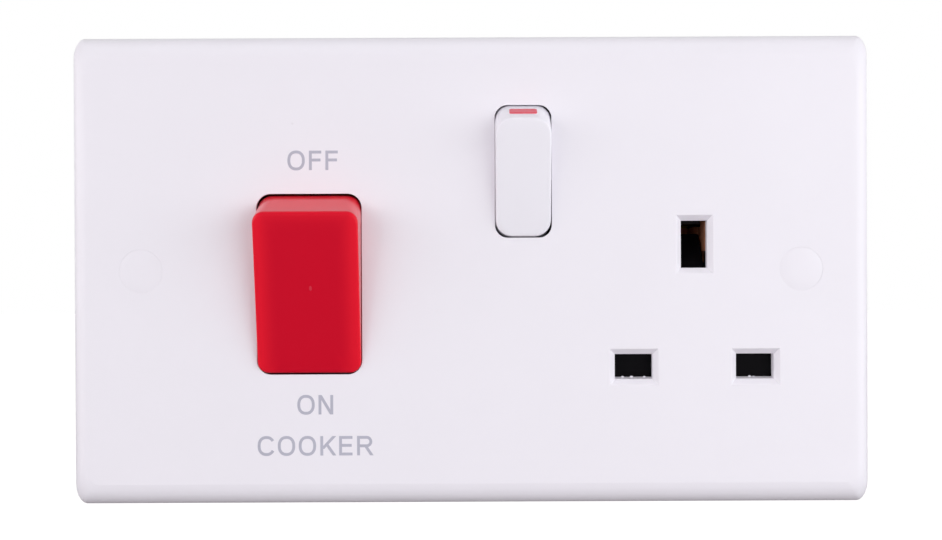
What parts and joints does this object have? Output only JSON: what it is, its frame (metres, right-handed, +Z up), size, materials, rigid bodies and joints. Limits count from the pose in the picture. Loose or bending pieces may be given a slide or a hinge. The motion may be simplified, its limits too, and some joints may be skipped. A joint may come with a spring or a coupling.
{
  "type": "cooker control unit",
  "caption": "Twin wall plate with a large red double-pole rocker switch and a shuttered three-pin socket outlet with its own white rocker switch.",
  "frame": {"origin": "centre of the plate's rear rim, on the wall plane, midway between the two fixing holes", "axes": "+X to the right seen from the front, +Y into the wall, +Z up"},
  "size_m": [0.146, 0.043, 0.086],
  "materials": {
    "white_moulding": "gloss",
    "red_moulding": "gloss",
    "black_moulding": "satin",
    "base_moulding": "satin",
    "nylon": "satin",
    "spring_steel": "satin",
    "copper": "satin",
    "brass": "satin",
    "plated_screw": "satin"
  },
  "bodies": {
    "unit": {"front_plate": "white_moulding", "screw_caps": "white_moulding", "switch_base": "base_moulding", "socket_base": "base_moulding", "socket_rear_cover": "base_moulding", "shutter_spring": "spring_steel", "line_link": "copper", "neutral_link": "copper", "cooker_fulcrum_line": "brass", "cooker_fulcrum_neutral": "brass", "cooker_fixed_contact_line": "brass", "cooker_fixed_contact_neutral": "brass", "supply_terminal_line": "brass", "supply_terminal_neutral": "brass", "load_terminal_line": "brass", "load_terminal_neutral": "brass", "socket_fulcrum": "brass", "socket_line_strip": "brass", "line_contact_clip": "brass", "neutral_contact_clip": "brass", "earth_contact_clip": "brass", "earth_strap": "brass", "earth_terminal": "brass", "terminal_screws": "plated_screw", "switch_base_screws": "plated_screw", "socket_base_screws": "plated_screw", "earth_terminal_screws": "plated_screw"},
    "cooker_rocker_body": {"cooker_rocker": "red_moulding", "cooker_spring_line": "spring_steel", "cooker_spring_neutral": "spring_steel"},
    "cooker_plunger_line_body": {"cooker_plunger_line": "nylon"},
    "cooker_plunger_neutral_body": {"cooker_plunger_neutral": "nylon"},
    "cooker_arm_line_body": {"cooker_contact_arm_line": "copper"},
    "cooker_arm_neutral_body": {"cooker_contact_arm_neutral": "copper"},
    "socket_rocker_body": {"socket_rocker": "white_moulding", "rocker_flash": "red_moulding", "socket_spring": "spring_steel"},
    "socket_plunger_body": {"socket_plunger": "nylon"},
    "socket_arm_body": {"socket_contact_arm": "copper"},
    "shutter_body": {"shutter": "black_moulding"}
  },
  "joints": [
    {"name": "cooker_rocker_hinge", "type": "hinge", "parent": "unit", "child": "cooker_rocker_body", "pos_m": [-0.02953, -0.0058, -0.00247], "axis": [1, 0, 0], "range_deg": [-26.6, 0]},
    {"name": "cooker_arm_line_hinge", "type": "hinge", "parent": "unit", "child": "cooker_arm_line_body", "pos_m": [-0.02493, 0.00874, -0.00247], "axis": [1, 0, 0], "range_deg": [0, 16]},
    {"name": "cooker_arm_neutral_hinge", "type": "hinge", "parent": "unit", "child": "cooker_arm_neutral_body", "pos_m": [-0.03413, 0.00874, -0.00247], "axis": [1, 0, 0], "range_deg": [0, 16]},
    {"name": "cooker_plunger_line_slide", "type": "slide", "parent": "cooker_rocker_body", "child": "cooker_plunger_line_body", "axis": [0, -0.9732, -0.23], "range_m": [0, 0.0008], "stiffness_N_per_m": 600, "springref_m": -0.003, "deforming": ["cooker_spring_line"]},
    {"name": "cooker_plunger_neutral_slide", "type": "slide", "parent": "cooker_rocker_body", "child": "cooker_plunger_neutral_body", "axis": [0, -0.9732, -0.23], "range_m": [0, 0.0008], "stiffness_N_per_m": 600, "springref_m": -0.003, "deforming": ["cooker_spring_neutral"]},
    {"name": "socket_rocker_hinge", "type": "hinge", "parent": "unit", "child": "socket_rocker_body", "pos_m": [0.0096, -0.0053, 0.01797], "axis": [1, 0, 0], "range_deg": [-24, 0]},
    {"name": "socket_arm_hinge", "type": "hinge", "parent": "unit", "child": "socket_arm_body", "pos_m": [0.0096, 0.00874, 0.01797], "axis": [1, 0, 0], "range_deg": [0, 16]},
    {"name": "socket_plunger_slide", "type": "slide", "parent": "socket_rocker_body", "child": "socket_plunger_body", "axis": [0, -0.9781, -0.2079], "range_m": [0, 0.0008], "stiffness_N_per_m": 600, "springref_m": -0.003, "deforming": ["socket_spring"]},
    {"name": "shutter_slide", "type": "slide", "parent": "unit", "child": "shutter_body", "axis": [0, 0, -1], "range_m": [0, 0.006], "stiffness_N_per_m": 60, "springref_m": -0.005, "deforming": ["shutter_spring"]}
  ],
  "couplings": [
    {"joint": "cooker_arm_line_hinge", "follows": "cooker_rocker_hinge", "ratio": -0.6015},
    {"joint": "cooker_arm_neutral_hinge", "follows": "cooker_rocker_hinge", "ratio": -0.6015},
    {"joint": "socket_arm_hinge", "follows": "socket_rocker_hinge", "ratio": -0.6666}
  ]
}
